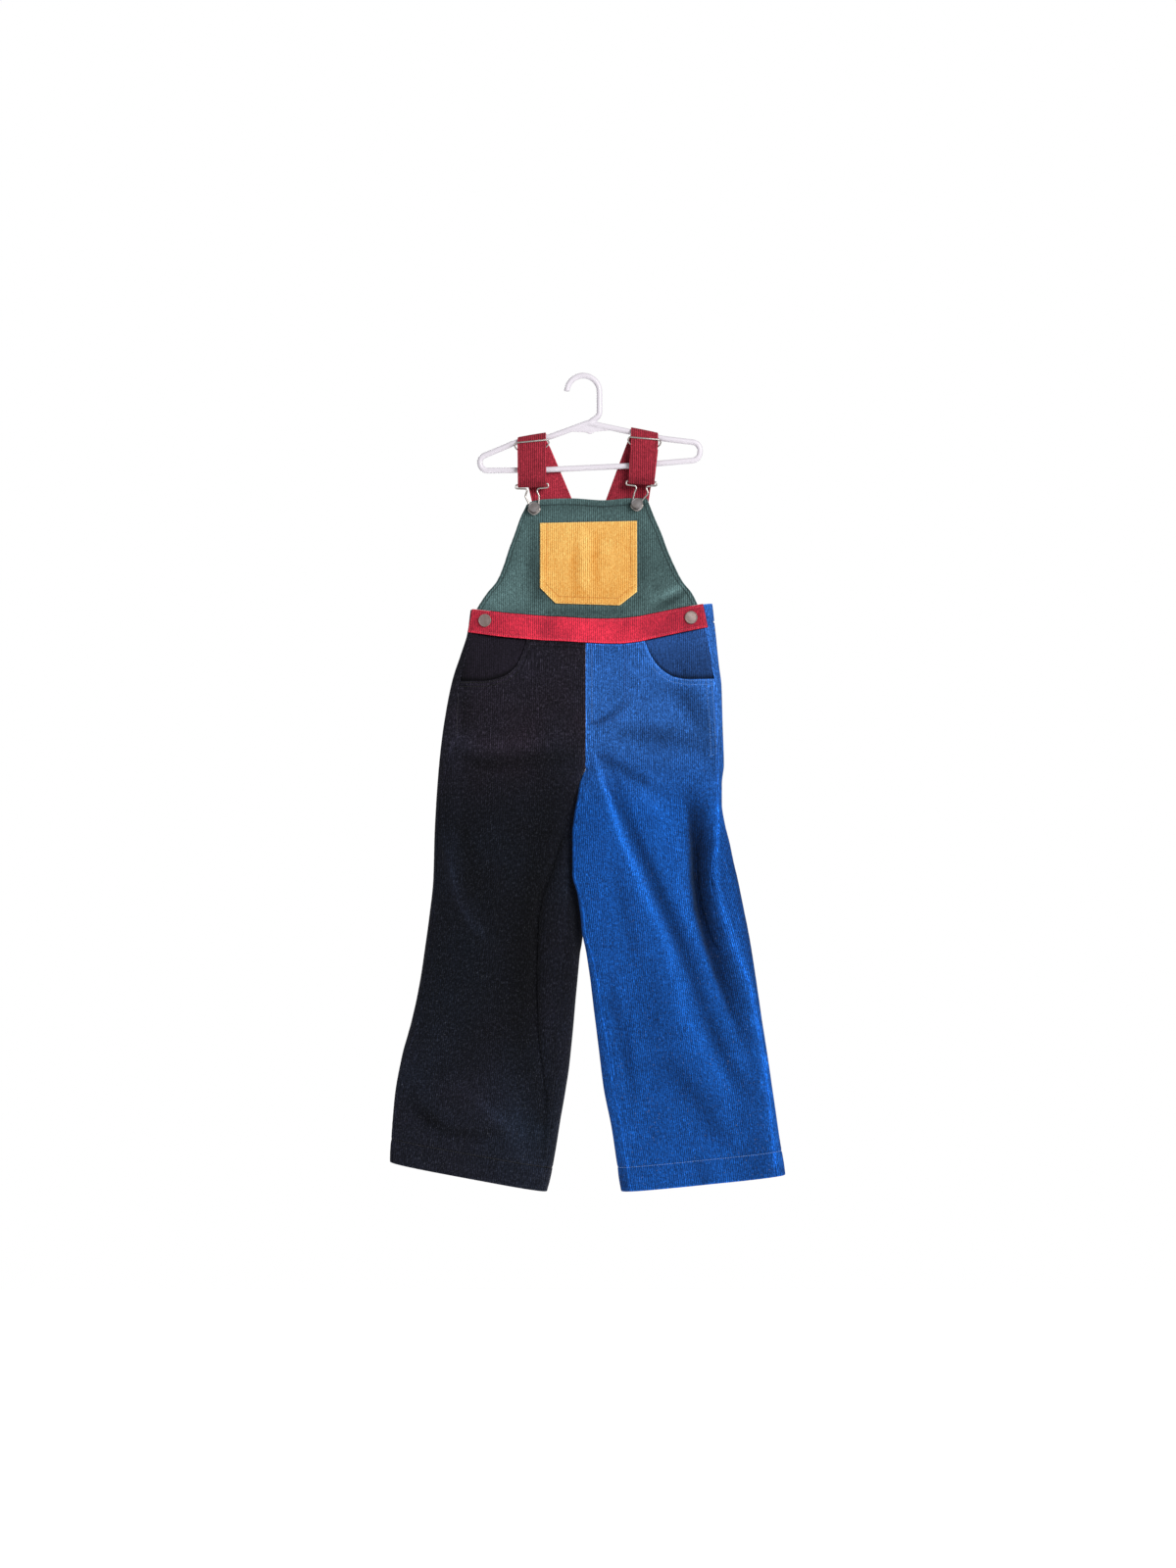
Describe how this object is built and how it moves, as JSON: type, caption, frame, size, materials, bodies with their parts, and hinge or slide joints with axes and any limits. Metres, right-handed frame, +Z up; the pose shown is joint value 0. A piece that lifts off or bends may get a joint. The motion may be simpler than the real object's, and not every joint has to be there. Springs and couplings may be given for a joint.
{
  "type": "children's bib overalls on a hanger",
  "caption": "Wide-leg colour-block corduroy bib overalls with a patch pocket and buckled straps, hanging flat on a plastic tube hanger.",
  "frame": {"origin": "where the hanger's hook rests on a rail, at the top of the hook's inner side", "axes": "+Z up, the garment's front faces -Y, and +X is to the right of someone who looks at the front"},
  "size_m": [0.4852, 0.0497, 1.0057],
  "materials": {
    "black_corduroy": "corduroy, matt pile",
    "blue_corduroy": "corduroy, matt pile",
    "green_corduroy": "corduroy, matt pile",
    "yellow_corduroy": "corduroy, matt pile",
    "red_corduroy": "corduroy, matt pile",
    "nickel": "antique nickel",
    "white_plastic": "moulded, satin"
  },
  "bodies": {
    "root": {"front_leg_left": "black_corduroy", "back_leg_left": "black_corduroy", "pocket_facing_left": "black_corduroy", "front_leg_right": "blue_corduroy", "back_leg_right": "blue_corduroy", "pocket_facing_right": "blue_corduroy", "waistband": "red_corduroy", "bib": "green_corduroy", "bib_pocket": "yellow_corduroy", "back_yoke": "red_corduroy", "strap_left": "red_corduroy", "strap_right": "red_corduroy", "slider_left": "nickel", "slider_right": "nickel", "buckle_left": "nickel", "buckle_right": "nickel", "hook_button_left": "nickel", "hook_button_right": "nickel", "side_button_left": "nickel", "side_button_right": "nickel", "hanger": "white_plastic"}
  },
  "joints": []
}
